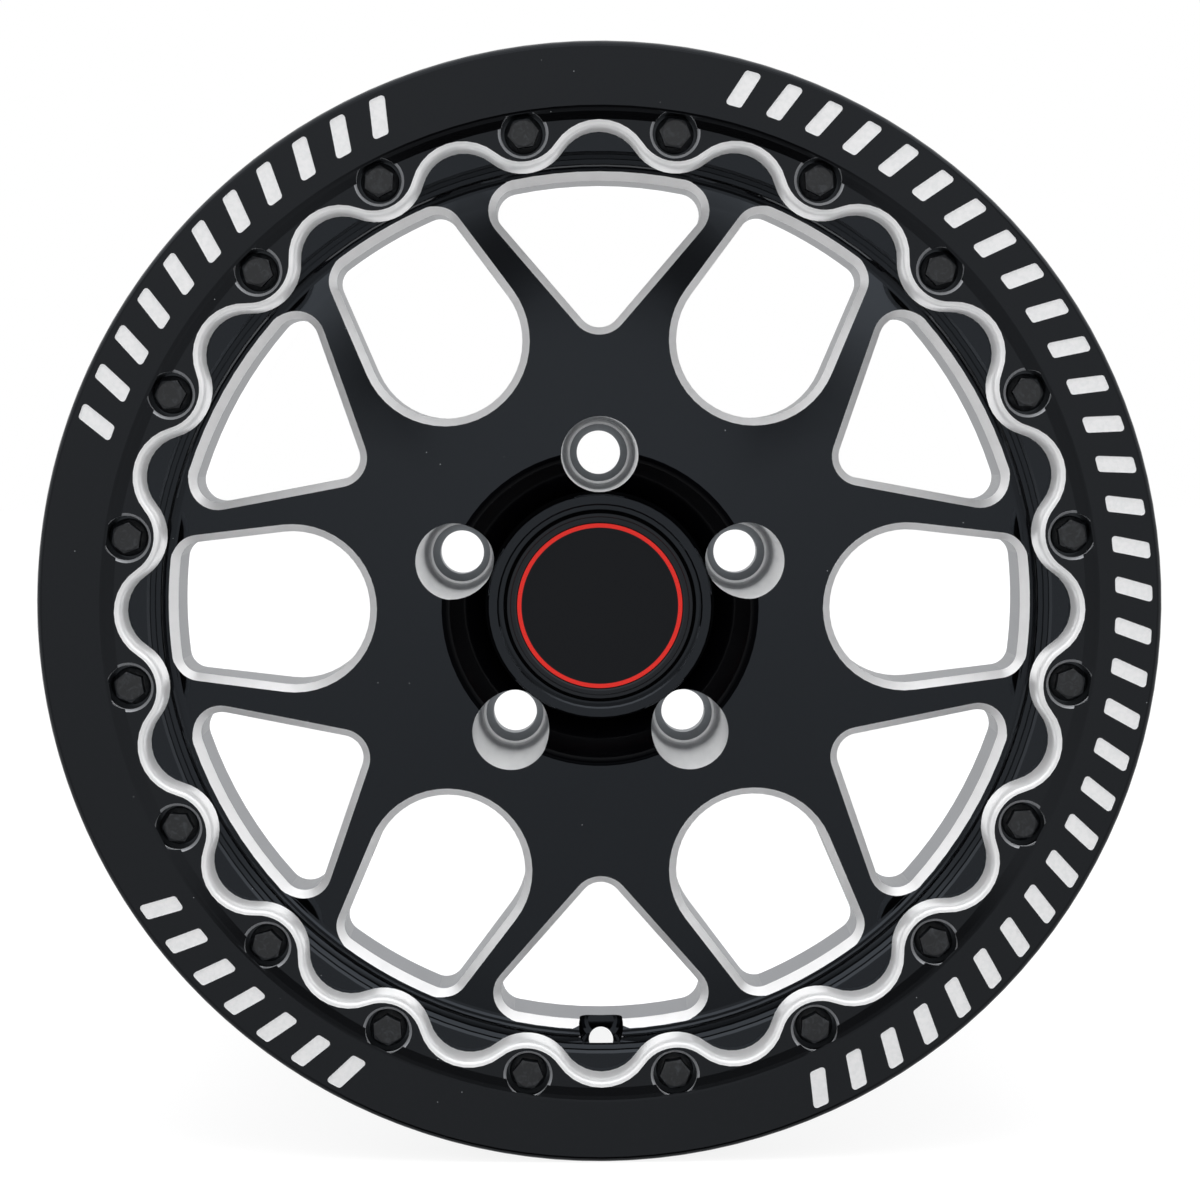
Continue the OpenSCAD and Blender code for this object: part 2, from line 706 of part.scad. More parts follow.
module cap_disc() {
    top = cap_front + cap_disc_sink;
    disc_edge = edge / 2;
    color("#212224") stand() turned([
        [0, top],
        [cap_disc_r - disc_edge, top],
        [cap_disc_r, top + disc_edge],
        [cap_disc_r, top + cap_disc_t],
        [0, top + cap_disc_t]
    ]);
}

module cap_o_ring() {
    color("#111111") stand() rotate_extrude()
        translate([cap_bore_r - fit_gap - o_ring_t / 2, -groove_depth]) circle(d = o_ring_t, $fn = 24);
}

wheel_body();
beadlock_ring();
ring_bolts();
thread_inserts();
centre_cap();
cap_disc();
cap_o_ring();
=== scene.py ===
import logging
import math
from dataclasses import dataclass, field
from enum import Enum

import bpy
import numpy as np
from mathutils import Euler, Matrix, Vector


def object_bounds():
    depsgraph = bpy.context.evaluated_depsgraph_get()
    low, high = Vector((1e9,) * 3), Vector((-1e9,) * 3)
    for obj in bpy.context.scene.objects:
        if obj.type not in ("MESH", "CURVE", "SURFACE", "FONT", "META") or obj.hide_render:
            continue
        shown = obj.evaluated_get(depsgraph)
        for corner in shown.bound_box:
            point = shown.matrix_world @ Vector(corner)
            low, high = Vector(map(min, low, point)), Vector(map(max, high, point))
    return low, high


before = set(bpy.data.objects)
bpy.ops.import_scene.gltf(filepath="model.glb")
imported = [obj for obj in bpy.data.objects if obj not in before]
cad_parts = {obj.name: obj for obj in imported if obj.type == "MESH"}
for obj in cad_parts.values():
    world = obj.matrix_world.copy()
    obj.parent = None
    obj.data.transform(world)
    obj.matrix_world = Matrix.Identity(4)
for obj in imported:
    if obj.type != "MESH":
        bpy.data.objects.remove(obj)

log = logging.getLogger("wheel")

MM = 0.001
# Depth behind the ring's bolting face at which the frame's origin lies, in mm
ORIGIN_DEPTH = 136.0
# Room that a face's place gets when it is compared with a size, in mm
SLACK = 0.02
# Less than this behind the ring's bolting face is the face itself, in mm
SKIN = 0.001
# Shares of a normal along the axis from which a face counts as square, nearly square or sloping to it
SQUARE = 0.97
NEARLY_SQUARE = 0.9
SLOPING = 0.3
# Angle of the top of the wheel, from +X towards +Z
TOP_DEG = 90.0
CAD_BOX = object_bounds()


class Region(Enum):
    """Surfaces of the wheel that are finished in different ways."""

    BEVEL = "bevel milled round a window"
    WALL = "wall milled through a window"
    LUG_POCKET = "bare pocket of a lug nut"
    LUG_SEAT = "conical seat of a lug nut"
    SHELL = "bright inside of the barrel"
    BARREL = "turned outside of the barrel"
    PAD = "turned mounting face"
    RECESS = "hub recess"
    SCALLOP = "scalloped edge milled round"
    COUNTERBORE = "counterbore of a ring bolt"
    CHAMFER = "chamfer of a counterbore"
    BAR = "bar milled in the band"


# Regions whose milled curves are shaded round
ROUNDED = (Region.BEVEL, Region.WALL, Region.SCALLOP)


def linear(colour: str) -> tuple[float, float, float, float]:
    """Turns an sRGB hex colour into linear light.

    Args:
        colour: the colour as "#rrggbb"

    Returns:
        Red, green, blue and an alpha of 1
    """
    parts = [int(colour[i:i + 2], 16) / 255 for i in (1, 3, 5)]
    red, green, blue = [p / 12.92 if p <= 0.04045 else ((p + 0.055) / 1.055) ** 2.4 for p in parts]
    return red, green, blue, 1.0


def add_node(
    tree: bpy.types.NodeTree,
    kind: str,
    inputs: dict[int | str, object] | None = None,
    stops: list[tuple[float, str | float]] | None = None,
    **settings: object,
) -> bpy.types.Node:
    """Adds a shader node with its settings and links.

    Args:
        tree: node tree that takes the node
        kind: Blender's type of node
        inputs: value or feeding socket for each named or numbered input
        stops: position and colour, or grey level, of each stop of a colour ramp
        settings: properties of the node

    Returns:
        The new node
    """
    node = tree.nodes.new(kind)
    for name, value in settings.items():
        setattr(node, name, value)
    for name, value in (inputs or {}).items():
        if isinstance(value, bpy.types.NodeSocket):
            tree.links.new(value, node.inputs[name])
        else:
            node.inputs[name].default_value = value
    if stops:
        elements = node.color_ramp.elements
        for _ in range(len(stops) - len(elements)):
            elements.new(1.0)
        for element, (place, colour) in zip(elements, sorted(stops, key=lambda s: s[0])):
            element.position = place
            element.color = linear(colour) if isinstance(colour, str) else (colour, colour, colour, 1.0)
    return node


@dataclass(frozen=True)
class Finish:
    """A real finish, as sockets of the Principled shader."""

    name: str
    colour: str
    roughness: float
    metallic: float = 0.0
    specular_tint: str = "#FFFFFF"
    anisotropy: float = 0.0

    def start(self) -> tuple[bpy.types.Material, bpy.types.NodeTree, bpy.types.Node]:
        """Makes the material with its shader.

        Returns:
            The material, its node tree and its Principled shader
        """
        material = bpy.data.materials.new(self.name)
        material.use_nodes = True
        tree = material.node_tree
        shader = tree.nodes["Principled BSDF"]
        shader.inputs["Base Color"].default_value = linear(self.colour)
        shader.inputs["Roughness"].default_value = self.roughness
        shader.inputs["Metallic"].default_value = self.metallic
        shader.inputs["Specular Tint"].default_value = linear(self.specular_tint)
        shader.inputs["Anisotropic"].default_value = self.anisotropy
        return material, tree, shader

    def place_mm(
        self, tree: bpy.types.NodeTree, stretch: tuple[float, float, float] = (1, 1, 1)
    ) -> bpy.types.NodeSocket:
        """Gives the place on the object in millimetres, divided by a stretch along each axis.

        Args:
            tree: node tree that takes the nodes
            stretch: how many times longer a pattern is along X, Y and Z

        Returns:
            The socket with the place
        """
        place = add_node(tree, "ShaderNodeTexCoord").outputs["Object"]
        scale = [1 / (MM * s) for s in stretch]
        return add_node(tree, "ShaderNodeMapping", {"Vector": place, "Scale": scale}).outputs["Vector"]

    def build(self) -> bpy.types.Material:
        """Makes the plain finish."""
        return self.start()[0]


@dataclass(frozen=True)
class PowderCoat(Finish):
    """Gloss powder coat over aluminium: deep black with a mirror's reflections and a little dust."""

    dust: str = "#C9CDD0"
    # Space between grains of dust, the size of a grain, and how much of the coat's colour it hides
    dust_pitch_mm: float = 9.0
    dust_mm: float = 0.22
    dust_cover: float = 0.5
    # A grain's edge fades from its size down to this share of it
    dust_core: float = 0.6
    # The coat's orange peel is about 3 mm from wave to wave, and hardly deep enough to see
    peel_mm: float = 3.0
    peel_depth_mm: float = 0.02
    peel_strength: float = 0.02

    def build(self) -> bpy.types.Material:
        """Makes the coat with its dust and orange peel.

        Returns:
            The material
        """
        material, tree, shader = self.start()
        place = self.place_mm(tree)
        cells = add_node(
            tree, "ShaderNodeTexVoronoi", {"Vector": place, "Scale": 1 / self.dust_pitch_mm},
            voronoi_dimensions="3D",
        )
        reach = self.dust_mm / self.dust_pitch_mm
        grain = add_node(
            tree, "ShaderNodeMapRange",
            {
                "Value": cells.outputs["Distance"], "From Min": reach, "From Max": self.dust_core * reach,
                "To Min": 0.0, "To Max": self.dust_cover,
            },
        )
        colour = add_node(
            tree, "ShaderNodeMix",
            {"Factor": grain.outputs["Result"], "A": linear(self.colour), "B": linear(self.dust)},
            data_type="RGBA",
        )
        tree.links.new(colour.outputs["Result"], shader.inputs["Base Color"])
        peel = add_node(
            tree, "ShaderNodeTexNoise", {"Vector": place, "Scale": 1 / self.peel_mm, "Detail": 1.0}
        )
        bump = add_node(
            tree, "ShaderNodeBump",
            {
                "Height": peel.outputs["Fac"], "Strength": self.peel_strength,
                "Distance": self.peel_depth_mm * MM,
            },
        )
        tree.links.new(bump.outputs["Normal"], shader.inputs["Normal"])
        return material


@dataclass(frozen=True)
class MachinedMetal(Finish):
    """Bare aluminium as a cutter leaves it: bright, with broad soft streaks."""

    # Colour of the darker streaks
    shade: str = "#E2E3E5"
    # A cutter's marks of about 0.1 mm are too fine to show, so they are drawn this wide
    streak_mm: float = 5.0
    # How many times longer than wide the streaks are along the wheel's axis
    streak_length: float = 6.0
    # Levels of the noise at which the shade ends and the full colour starts
    shade_to: float = 0.35
    colour_from: float = 0.6

    def build(self) -> bpy.types.Material:
        """Makes the metal with its streaks.

        Returns:
            The material
        """
        material, tree, shader = self.start()
        streaks = add_node(
            tree, "ShaderNodeTexNoise",
            {
                "Vector": self.place_mm(tree, (1, self.streak_length, 1)), "Scale": 1 / self.streak_mm,
                "Detail": 2.0, "Roughness": 0.5,
            },
        )
        colour = add_node(
            tree, "ShaderNodeValToRGB", {"Fac": streaks.outputs["Fac"]},
            stops=[(self.shade_to, self.shade), (self.colour_from, self.colour)],
        )
        tree.links.new(colour.outputs["Color"], shader.inputs["Base Color"])
        return material


@dataclass(frozen=True)
class OxideBlack(Finish):
    """Black oxide on a steel bolt: satin, with grey rub marks from the socket."""

    rub: str = "#303337"
    # Rub marks are 2 to 3 mm long and swirl a little
    rub_mm: float = 2.4
    rub_swirl: float = 1.5
    # Levels of the noise at which a rub mark starts and is full
    rub_from: float = 0.5
    rub_full: float = 0.72

    def build(self) -> bpy.types.Material:
        """Makes the oxide with its rub marks.

        Returns:
            The material
        """
        material, tree, shader = self.start()
        marks = add_node(
            tree, "ShaderNodeTexNoise",
            {
                "Vector": self.place_mm(tree), "Scale": 1 / self.rub_mm, "Detail": 4.0,
                "Distortion": self.rub_swirl,
            },
        )
        colour = add_node(
            tree, "ShaderNodeValToRGB", {"Fac": marks.outputs["Fac"]},
            stops=[(self.rub_from, self.colour), (self.rub_full, self.rub)],
        )
        tree.links.new(colour.outputs["Color"], shader.inputs["Base Color"])
        return material


@dataclass(frozen=True)
class RingedDisc(Finish):
    """Satin black disc with a printed ring near its edge."""

    ring: str = "#E0281C"
    inner_mm: float = 29.88
    outer_mm: float = 31.33
    # Radius at which the colours end, and how sharp the print's edge is
    reach_mm: float = 41.33
    edge_mm: float = 0.08

    def build(self) -> bpy.types.Material:
        """Makes the disc's finish with its ring.

        Returns:
            The material
        """
        material, tree, shader = self.start()
        place = self.place_mm(tree)
        flat = add_node(tree, "ShaderNodeVectorMath", {0: place, 1: (1, 0, 1)}, operation="MULTIPLY")
        radius = add_node(tree, "ShaderNodeVectorMath", {0: flat.outputs["Vector"]}, operation="LENGTH")
        share = add_node(
            tree, "ShaderNodeMath", {0: radius.outputs["Value"], 1: self.reach_mm}, operation="DIVIDE"
        )
        bands = (
            (self.inner_mm - self.edge_mm, self.colour), (self.inner_mm, self.ring),
            (self.outer_mm, self.ring), (self.outer_mm + self.edge_mm, self.colour),
        )
        colour = add_node(
            tree, "ShaderNodeValToRGB", {"Fac": share.outputs[0]},
            stops=[(r / self.reach_mm, shade) for r, shade in bands],
        )
        tree.links.new(colour.outputs["Color"], shader.inputs["Base Color"])
        return material


# Powder coat over forged aluminium, baked to a gloss: black with a mirror's cool reflections
GLOSS_COAT = PowderCoat("gloss_black_powder_coat", "#050506", 0.07, specular_tint="#E4F0FF")
# The ring's coat is baked apart from the wheel's and comes out a little softer
RING_COAT = PowderCoat("ring_gloss_black_powder_coat", "#050506", 0.08, specular_tint="#D8E0EA")
# The hub recess's coat is darker and mirrors only a faint tint: painted shade, since little light finds
# its way into the recess
RECESS_PAINTED_SHADE_COAT = Finish("gloss_black_recess_painted_shade", "#020203", 0.1, specular_tint="#34373B")
# The coat is thin in the counterbores, and looks softer there
COUNTERBORE_COAT = Finish("gloss_black_in_counterbore", "#060607", 0.16, specular_tint="#EAF4FF")

# A face mill leaves fine ridges that scatter the light, so the bare cuts are only partly like a mirror
BEVEL_METAL = MachinedMetal(
    "milled_aluminium_bevel", "#F6F6F7", 0.34, metallic=0.6, shade="#F1F1F2", streak_mm=8.0
)
# The side of an end mill cuts the windows' walls, which look quite even; their dark grey, far below the
# bevels' same aluminium, is painted shade in the windows
WALL_METAL_PAINTED_SHADE = MachinedMetal(
    "milled_aluminium_wall_painted_shade", "#7C7E82", 0.4, metallic=1.0, shade="#797B7F", streak_mm=12.0
)
# A ball-nosed cutter rounds the scalloped edge, which shines white along its crest
SCALLOP_METAL = MachinedMetal(
    "milled_aluminium_round", "#F8F8F9", 0.34, metallic=0.4, shade="#F2F3F4", streak_mm=8.0
)
# A counterboring tool leaves the lug pockets pale and satin
POCKET_METAL = MachinedMetal(
    "bored_aluminium", "#E8E9EA", 0.34, metallic=0.6, shade="#DFE0E2", streak_mm=5.0
)
# An end mill leaves the floor of the bars even and pale
BAR_METAL = MachinedMetal(
    "milled_aluminium_bar", "#F4F4F5", 0.5, metallic=0.3, shade="#EDEEEF", streak_mm=1.5
)
# A form tool leaves the seats dull
SEAT_METAL = Finish("reamed_aluminium_seat", "#85898D", 0.5, metallic=1.0)
# The counterbores' chamfers are pale metal with a matt share, which draws a painted highlight ring round
# each bolt
CHAMFER_PAINTED_HIGHLIGHT = Finish("counterbore_edge_painted_highlight", "#A6A8AC", 0.3, metallic=0.6)
# The inside is polished and clear-coated, so white light from behind runs along it
SHELL_METAL = Finish("clear_coated_aluminium", "#F6F7F8", 0.2, metallic=1.0)
# The outside is turned and not polished, so it's greyer than the inside
BARREL_METAL = Finish("turned_aluminium_barrel", "#94979B", 0.3, metallic=1.0)
# Facing the pad in a lathe draws its shine out across the rings
PAD_METAL = Finish("faced_aluminium", "#C4C6C9", 0.35, metallic=1.0, anisotropy=0.5)

# Black oxide leaves steel satin and nearly black
BOLT_OXIDE = OxideBlack("black_oxide_steel", "#1B1D20", 0.38)
# Stainless steel, turned: plain bright metal
INSERT_STEEL = Finish("stainless_steel", "#C2C4C8", 0.35, metallic=1.0)
# Moulded ABS from a polished mould: as glossy as the coat
CAP_ABS = Finish("gloss_black_abs", "#060607", 0.1, specular_tint="#E6EEFA")
# Printed foil with a satin lacquer: an even, soft black
DISC_SATIN = RingedDisc("satin_black_disc", "#0B0B0C", 0.45, specular_tint="#B4BAC4")
# Nitrile rubber, moulded: dull and dark grey
O_RING_RUBBER = Finish("nitrile_rubber", "#1A1A1A", 0.7)


def read(
    elements: bpy.types.bpy_prop_collection, name: str, width: int = 1, kind: type = float
) -> np.ndarray:
    """Reads one value of every element of a mesh.

    Args:
        elements: the mesh's faces, corners or vertices
        name: name of the value
        width: how many numbers the value has
        kind: type of the numbers

    Returns:
        A row per element, or a number per element where the width is 1
    """
    values = np.zeros(len(elements) * width, kind)
    elements.foreach_get(name, values)
    return values.reshape(-1, width) if width > 1 else values


def faces_of(mesh: bpy.types.Mesh) -> tuple[np.ndarray, np.ndarray]:
    """Reads where each face lies and points.

    Args:
        mesh: mesh of a CAD node, in metres

    Returns:
        Centres as millimetres across, behind the ring's bolting face and up, and normals
    """
    centres = read(mesh.polygons, "center", 3) / MM
    centres[:, 1] += ORIGIN_DEPTH
    return centres, read(mesh.polygons, "normal", 3)


def from_nearest(flat: np.ndarray, circle_r: float, count: int, first_deg: float) -> np.ndarray:
    """Measures how far each place is from the nearest hole of a circle of holes.

    Args:
        flat: places across and up, in mm
        circle_r: radius of the circle that the holes' axes lie on
        count: how many holes there are
        first_deg: angle of the first hole, from +X towards +Z

    Returns:
        The distance of each place from the nearest hole's axis
    """
    turns = np.radians(first_deg + np.arange(count) * 360 / count)
    axes = circle_r * np.stack([np.cos(turns), np.sin(turns)], axis=1)
    return np.min(np.linalg.norm(flat[:, None] - axes[None], axis=2), axis=1)


def inside(points: np.ndarray, outline: np.ndarray) -> np.ndarray:
    """Tells which points lie inside a closed outline.

    Args:
        points: places across and up
        outline: corners of the outline

    Returns:
        True for each point inside
    """
    x, z = points[:, 0], points[:, 1]
    found = np.zeros(len(points), bool)
    for (ax, az), (bx, bz) in zip(outline, np.roll(outline, -1, axis=0)):
        crosses = (az > z) != (bz > z)
        at = (bx - ax) * (z - az) / (bz - az if bz != az else 1e-9) + ax
        found ^= crosses & (x < at)
    return found


def smooth_regions(mesh: bpy.types.Mesh, slots: set[int], limit: float = 50.0) -> None:
    """Rounds the shading across the flat faces of milled curves.

    Args:
        mesh: mesh whose normals change
        slots: material slots whose faces are rounded, each by itself
        limit: largest turn that is rounded, in degrees
    """
    normals = read(mesh.corner_normals, "vector", 3)
    # Corners at the same place share a spot, also where the mesh holds the vertex twice
    _, spot = np.unique(np.round(read(mesh.vertices, "co", 3), 6), axis=0, return_inverse=True)
    spot = spot.reshape(-1)[read(mesh.loops, "vertex_index", kind=np.int64)]
    face = np.repeat(np.arange(len(mesh.polygons)), read(mesh.polygons, "loop_total", kind=np.int64))
    weight = read(mesh.polygons, "area")[face]
    used = read(mesh.polygons, "material_index", kind=np.int64)[face]
    for slot in slots:
        mine = np.flatnonzero(used == slot)
        # The second round evens out what the first one left
        for _ in range(2):
            total = np.zeros((spot.max() + 1, 3))
            np.add.at(total, spot[mine], normals[mine] * weight[mine][:, None])
            mean = total[spot[mine]]
            mean /= np.maximum(np.linalg.norm(mean, axis=1), 1e-12)[:, None]
            near = np.sum(mean * normals[mine], axis=1) > math.cos(math.radians(limit))
            normals[mine[near]] = mean[near]
    mesh.normals_split_custom_set([tuple(n) for n in normals])


@dataclass
class Dressed:
    """A CAD node that takes finishes."""

    node: str
    slot: str
    coat: Finish
    finishes: dict[Region, Finish] = field(default_factory=dict)

    def regions(self, centres: np.ndarray, normals: np.ndarray) -> dict[Region, np.ndarray]:
        """Sorts the faces into regions; whatever isn't named keeps the coat."""
        return {}

    def dress(self) -> None:
        """Gives the node its finishes."""
        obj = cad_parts[self.node]
        mesh = obj.data
        mesh.materials.clear()
        mesh.materials.append(self.coat.build())
        used = np.zeros(len(mesh.polygons), np.int64)
        rounded = set()
        for region, faces in self.regions(*faces_of(mesh)).items():
            used[faces] = len(mesh.materials)
            if region in ROUNDED:
                rounded.add(len(mesh.materials))
            mesh.materials.append(self.finishes[region].build())
            log.info("%s, %s: %d faces", self.node, region.value, np.count_nonzero(faces))
        mesh.polygons.foreach_set("material_index", used)
        if rounded:
            smooth_regions(mesh, rounded)
        mesh.update()
        log.info("%s: %d faces, coat %s", self.node, len(used), self.coat.name)


@dataclass(frozen=True)
class Window:
    """One kind of window, pointing up, with sizes in mm and degrees."""

    inner: float
    tip_r: float
    side_angle: float
    corner_r: float
    outer_r: float = 162.5
    arc_steps: int = 24

    def arc(self, cx: float, cz: float, r: float, a: float, b: float) -> list[tuple[float, float]]:
        """Gives points of an arc about a centre, from one angle to another."""
        turns = [math.radians(a + (b - a) * i / self.arc_steps) for i in range(self.arc_steps + 1)]
        return [(cx + r * math.cos(t), cz + r * math.sin(t)) for t in turns]

    def outline(self, grow: float, turn: float) -> np.ndarray:
        """Draws the window's edge.

        Args:
            grow: how far outside the edge the outline runs
            turn: angle of the window from the top, towards -X

        Returns:
            Corners across and up
        """
        side = (self.inner + self.tip_r) * math.sin(math.radians(self.side_angle)) + self.tip_r
        reach = self.outer_r - self.corner_r
        corner = self.side_angle + math.degrees(math.acos((side - self.corner_r) / reach))
        cx, cz = reach * math.cos(math.radians(corner)), reach * math.sin(math.radians(corner))
        tip_start = -180 - self.side_angle
        points = [
            *self.arc(0, self.inner + self.tip_r, self.tip_r + grow, tip_start, self.side_angle),
            *self.arc(cx, cz, self.corner_r + grow, self.side_angle, corner),
            *self.arc(0, 0, self.outer_r + grow, corner, 180 - corner),
            *self.arc(-cx, cz, self.corner_r + grow, 180 - corner, 180 - self.side_angle),
        ]
        c, s = math.cos(math.radians(turn)), math.sin(math.radians(turn))
        return np.array([(x * c - z * s, x * s + z * c) for x, z in points])


@dataclass
class WheelBody(Dressed):
    """The forged wheel: coated face, milled windows, bare lug pockets and barrel."""

    node: str = "wheel_body"
    slot: str = "gloss_black"
    coat: Finish = GLOSS_COAT
    three_cornered: Window = Window(inner=102.2, tip_r=11.1, side_angle=-40.6, corner_r=11.0)
    round_ended: Window = Window(inner=83.7, tip_r=31.8, side_angle=6.8, corner_r=10.0)
    window_pairs: int = 6
    lug_circle_r: float = 57.5
    lug_count: int = 5
    lug_pocket_r: float = 14.4
    lug_seat_r: float = 11.4
    lug_seat_depth: float = 70.0
    spoke_back: float = 44.0
    # The windows' walls end, and the fillet to the barrel starts, within this much of the spokes' backs
    wall_end: float = 0.1
    back_fillet: float = 0.5
    mount_depth: float = 82.0
    shoulder_back: float = 30.5
    face_depth: float = 11.7
    recess_r: float = 58.5
    # The rounding of the recess's edge runs out on the face here
    recess_edge_r: float = 59.4
    face_angle: float = 5.4
    bevel: float = 2.8
    recess_depth: float = 29.5
    collar_r: float = 42.7
    valve_pocket_r: float = 8.5
    valve_pocket_at: float = 161.7
    valve_hole_r: float = 4.65
    valve_hole_at: float = 169.1
    valve_floor: float = 30.5
    valve_angle: float = 15.0
    # The barrel's walls lie outside this radius, and the mounting pad inside the other
    barrel_r: float = 164.0
    pad_r: float = 75.0
    # Faces this far behind the mounting face still belong to the pad
    pad_skin: float = 1.0
    finishes: dict[Region, Finish] = field(default_factory=lambda: {
        Region.BEVEL: BEVEL_METAL,
        Region.WALL: WALL_METAL_PAINTED_SHADE,
        Region.LUG_POCKET: POCKET_METAL,
        Region.LUG_SEAT: SEAT_METAL,
        Region.SHELL: SHELL_METAL,
        Region.BARREL: BARREL_METAL,
        Region.PAD: PAD_METAL,
        Region.RECESS: RECESS_PAINTED_SHADE_COAT,
    })

    def in_valve(self, centres: np.ndarray) -> np.ndarray:
        """Tells which faces lie in the valve's pocket or hole.

        Args:
            centres: centre of each face, in mm

        Returns:
            True for each face of the pocket or the hole
        """
        across, depth, down = centres[:, 0], centres[:, 1], -centres[:, 2]
        pocket = np.hypot(across, down - self.valve_pocket_at) < self.valve_pocket_r + SLACK
        pocket &= depth < self.valve_floor + SLACK
        lean = math.radians(self.valve_angle)
        off_axis = (down - self.valve_hole_at) * math.cos(lean)
        off_axis -= (depth - self.valve_floor) * math.sin(lean)
        hole = np.hypot(across, off_axis) < self.valve_hole_r + SLACK
        return pocket | hole

    def in_windows(self, centres: np.ndarray) -> np.ndarray:
        """Tells which faces lie in a window, from the disc's face to the back of the spokes.

        Args:
            centres: centre of each face, in mm

        Returns:
            True for each face of a bevel or a wall
        """
        found = np.zeros(len(centres), bool)
        step = 360 / self.window_pairs
        for i in range(self.window_pairs):
            for window, turn in ((self.three_cornered, i * step), (self.round_ended, (i + 0.5) * step)):
                found |= inside(centres[:, [0, 2]], window.outline(-SLACK, turn))
        return found & (centres[:, 1] < self.spoke_back + self.wall_end)

    def regions(self, centres: np.ndarray, normals: np.ndarray) -> dict[Region, np.ndarray]:
        """Sorts the wheel's faces.

        Args:
            centres: centre of each face, in mm
            normals: normal of each face

        Returns:
            The faces of each region that isn't coated
        """
        flat, depth = centres[:, [0, 2]], centres[:, 1]
        radius = np.hypot(*flat.T)
        valve = self.in_valve(centres)
        in_window = self.in_windows(centres) & ~valve
        slope = math.tan(math.radians(self.face_angle))
        below_face = depth - self.face_depth - (radius - self.recess_r) * slope
        # A bevel faces half forward, and a wall faces across
        bevel = in_window & (normals[:, 1] < -SLOPING) & (below_face < self.bevel + SLACK)
        from_lug = from_nearest(flat, self.lug_circle_r, self.lug_count, TOP_DEG)
        pad = depth > self.mount_depth - SLACK
        in_lug = (from_lug < self.lug_pocket_r + SLACK) & ~pad
        seat = in_lug & (from_lug < self.lug_seat_r + 2 * SLACK) & (depth > self.lug_seat_depth)
        # The hub recess takes the coat darkened as painted shade
        recess = (radius > self.collar_r + SLACK) & (radius < self.recess_edge_r) & ~in_lug
        recess &= (depth > self.face_depth) & (depth < self.recess_depth + SLACK)
        back_of_disc = (depth < self.spoke_back + self.back_fillet) & (normals[:, 1] > NEARLY_SQUARE)
        barrel = (depth > self.shoulder_back) & (radius > self.barrel_r)
        barrel &= ~in_window & ~valve & ~back_of_disc
        faces_axis = np.sum(normals[:, [0, 2]] * flat, axis=1) < -SLOPING * radius
        return {
            Region.BEVEL: bevel,
            # The walls take the metal darkened as painted shade
            Region.WALL: in_window & ~bevel,
            Region.LUG_POCKET: in_lug & ~seat,
            Region.LUG_SEAT: seat,
            Region.SHELL: barrel & faces_axis,
            Region.BARREL: barrel & ~faces_axis,
            Region.PAD: pad & (depth < self.mount_depth + self.pad_skin) & (radius < self.pad_r),
            Region.RECESS: recess,
        }


@dataclass
class BeadlockRing(Dressed):
    """The bolted ring: coated, with a milled scalloped edge."""

    node: str = "beadlock_ring"
    slot: str = "ring_black"
    coat: Finish = RING_COAT
    bolt_circle_r: float = 176.6
    bolt_count: int = 20
    counterbore_r: float = 8.2
    counterbore_chamfer: float = 1.0
    scallop_reach: float = 180.5
    bar_inner_r: float = 189.0
    bar_outer_r: float = 204.6
    bar_floor: float = -2.1
    band_depth: float = -2.5
    finishes: dict[Region, Finish] = field(default_factory=lambda: {
        Region.SCALLOP: SCALLOP_METAL,
        Region.COUNTERBORE: COUNTERBORE_COAT,
        Region.CHAMFER: CHAMFER_PAINTED_HIGHLIGHT,
        Region.BAR: BAR_METAL,
    })

    def regions(self, centres: np.ndarray, normals: np.ndarray) -> dict[Region, np.ndarray]:
        """Sorts the ring's faces.

        Args:
            centres: centre of each face, in mm
            normals: normal of each face

        Returns:
            The faces of each region that isn't coated
        """
        flat, depth = centres[:, [0, 2]], centres[:, 1]
        radius = np.hypot(*flat.T)
        # The top lies midway between two bolts
        first_bolt = TOP_DEG + 180 / self.bolt_count
        from_bolt = from_nearest(flat, self.bolt_circle_r, self.bolt_count, first_bolt)
        behind = depth > SKIN
        tilted = np.abs(normals[:, 1]) < SQUARE
        counterbore = (from_bolt < self.counterbore_r + self.counterbore_chamfer + SLACK) & behind
        chamfer = counterbore & (from_bolt > self.counterbore_r + SLACK) & tilted
        # The bore's wall stands proud where it meets the rise to the band, and takes the painted highlight
        # there too
        chamfer |= (np.abs(from_bolt - self.counterbore_r) < 2 * SLACK) & ~behind
        scallop = ~counterbore & (radius < self.scallop_reach) & behind & tilted
        bar = (radius > self.bar_inner_r) & (radius < self.bar_outer_r)
        bar &= (depth > self.band_depth + SLACK) & (depth < self.bar_floor + SLACK)
        return {
            Region.SCALLOP: scallop,
            # The chamfers take the pale metal that draws the painted highlight
            Region.COUNTERBORE: counterbore & ~chamfer,
            Region.CHAMFER: chamfer,
            Region.BAR: bar,
        }


